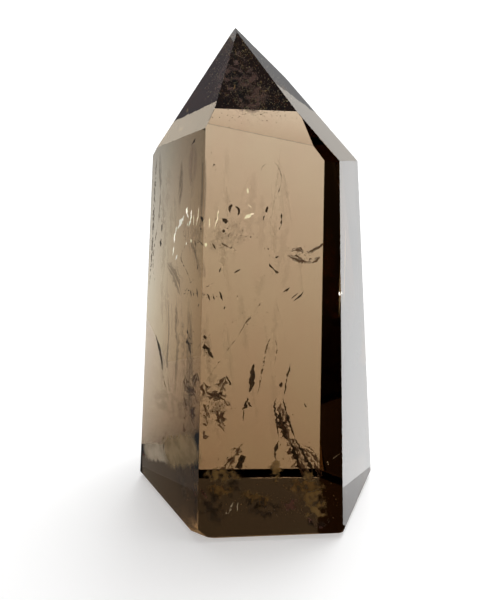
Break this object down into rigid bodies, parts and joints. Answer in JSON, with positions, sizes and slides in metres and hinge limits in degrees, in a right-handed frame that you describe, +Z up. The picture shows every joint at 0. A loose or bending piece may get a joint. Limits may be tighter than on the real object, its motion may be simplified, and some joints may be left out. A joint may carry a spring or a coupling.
{
  "type": "smoky quartz tower",
  "caption": "Free-standing polished point of clear brown smoky quartz: a six-sided prism that narrows upwards to an off-centre faceted tip, on a flat bevelled base.",
  "frame": {"origin": "middle of the stone's outline, at the level of the flat base that it stands on", "axes": "+Z up along the crystal to its tip, -Y towards the widest face at the front, +X to the right of someone who looks at that face"},
  "size_m": [0.035, 0.024, 0.0695],
  "materials": {
    "smoky_quartz": "clear brown quartz, polished to a gloss"
  },
  "bodies": {
    "root": {"quartz_tower": "smoky_quartz"}
  },
  "joints": []
}
